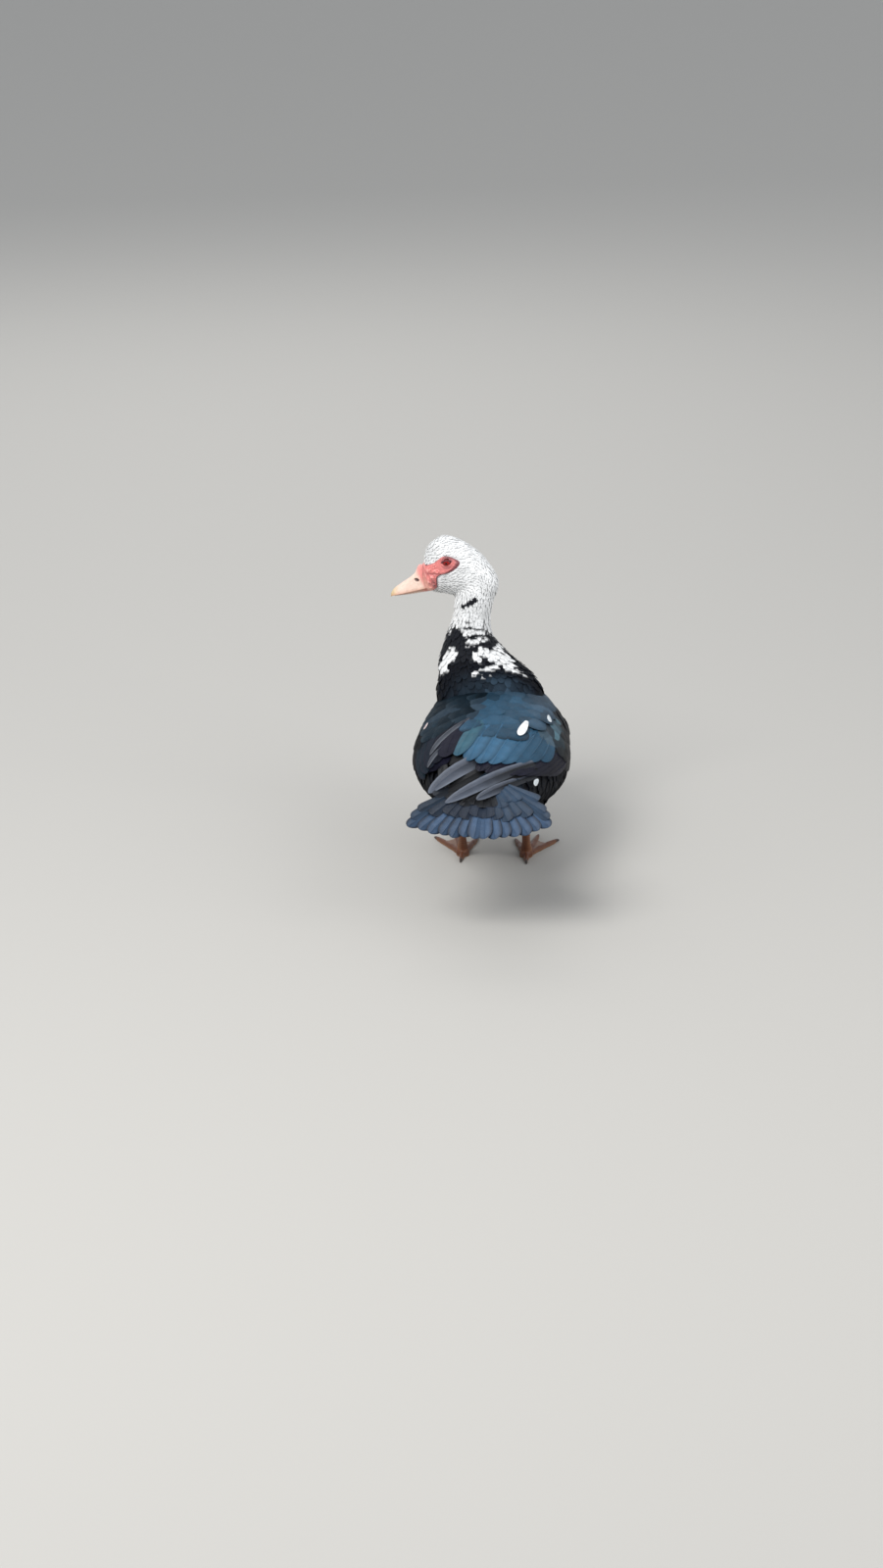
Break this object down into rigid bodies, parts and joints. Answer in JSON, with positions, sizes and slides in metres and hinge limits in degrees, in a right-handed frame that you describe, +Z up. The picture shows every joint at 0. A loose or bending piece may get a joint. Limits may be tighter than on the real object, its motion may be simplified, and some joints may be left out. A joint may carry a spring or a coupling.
{
  "type": "muscovy duck",
  "caption": "Still life-size model of a standing pied muscovy hen, head turned to her left, wings folded over the rump and tail spread.",
  "frame": {"origin": "on the floor, under the middle of the overall box, midway between the two soles from side to side but for the width of the turned head and bill", "axes": "+Y the way the body faces, +X towards its right side, +Z up"},
  "size_m": [0.2102, 0.4236, 0.3384],
  "materials": {
    "black_feather": "silky feather",
    "pied_feather": "soft feather, black and white",
    "white_feather": "soft feather",
    "teal_feather": "glossy feather with a teal sheen",
    "grey_feather": "stiff feather",
    "slate_feather": "stiff feather",
    "red_skin": "bare warty skin",
    "bill_horn": "satin horn",
    "eye": "glossy glass eye",
    "leg_skin": "scaled skin",
    "claw_horn": "satin horn"
  },
  "bodies": {
    "root": {"bill_upper": "bill_horn", "bill_lower": "bill_horn", "head": "white_feather", "face_left": "red_skin", "eye_left": "eye", "face_right": "red_skin", "eye_right": "eye", "torso": "black_feather", "neck_lower": "pied_feather", "neck_upper": "white_feather", "scapulars_left": "teal_feather", "wing_left": "teal_feather", "scapulars_right": "teal_feather", "wing_right": "teal_feather", "tail": "slate_feather", "thigh_left": "black_feather", "foot_left": "leg_skin", "claw_inner_left": "claw_horn", "claw_middle_left": "claw_horn", "claw_outer_left": "claw_horn", "claw_hind_left": "claw_horn", "shank_left": "leg_skin", "thigh_right": "black_feather", "foot_right": "leg_skin", "claw_inner_right": "claw_horn", "claw_middle_right": "claw_horn", "claw_outer_right": "claw_horn", "claw_hind_right": "claw_horn", "shank_right": "leg_skin", "primaries_left": "grey_feather", "primaries_right": "grey_feather"}
  },
  "joints": []
}
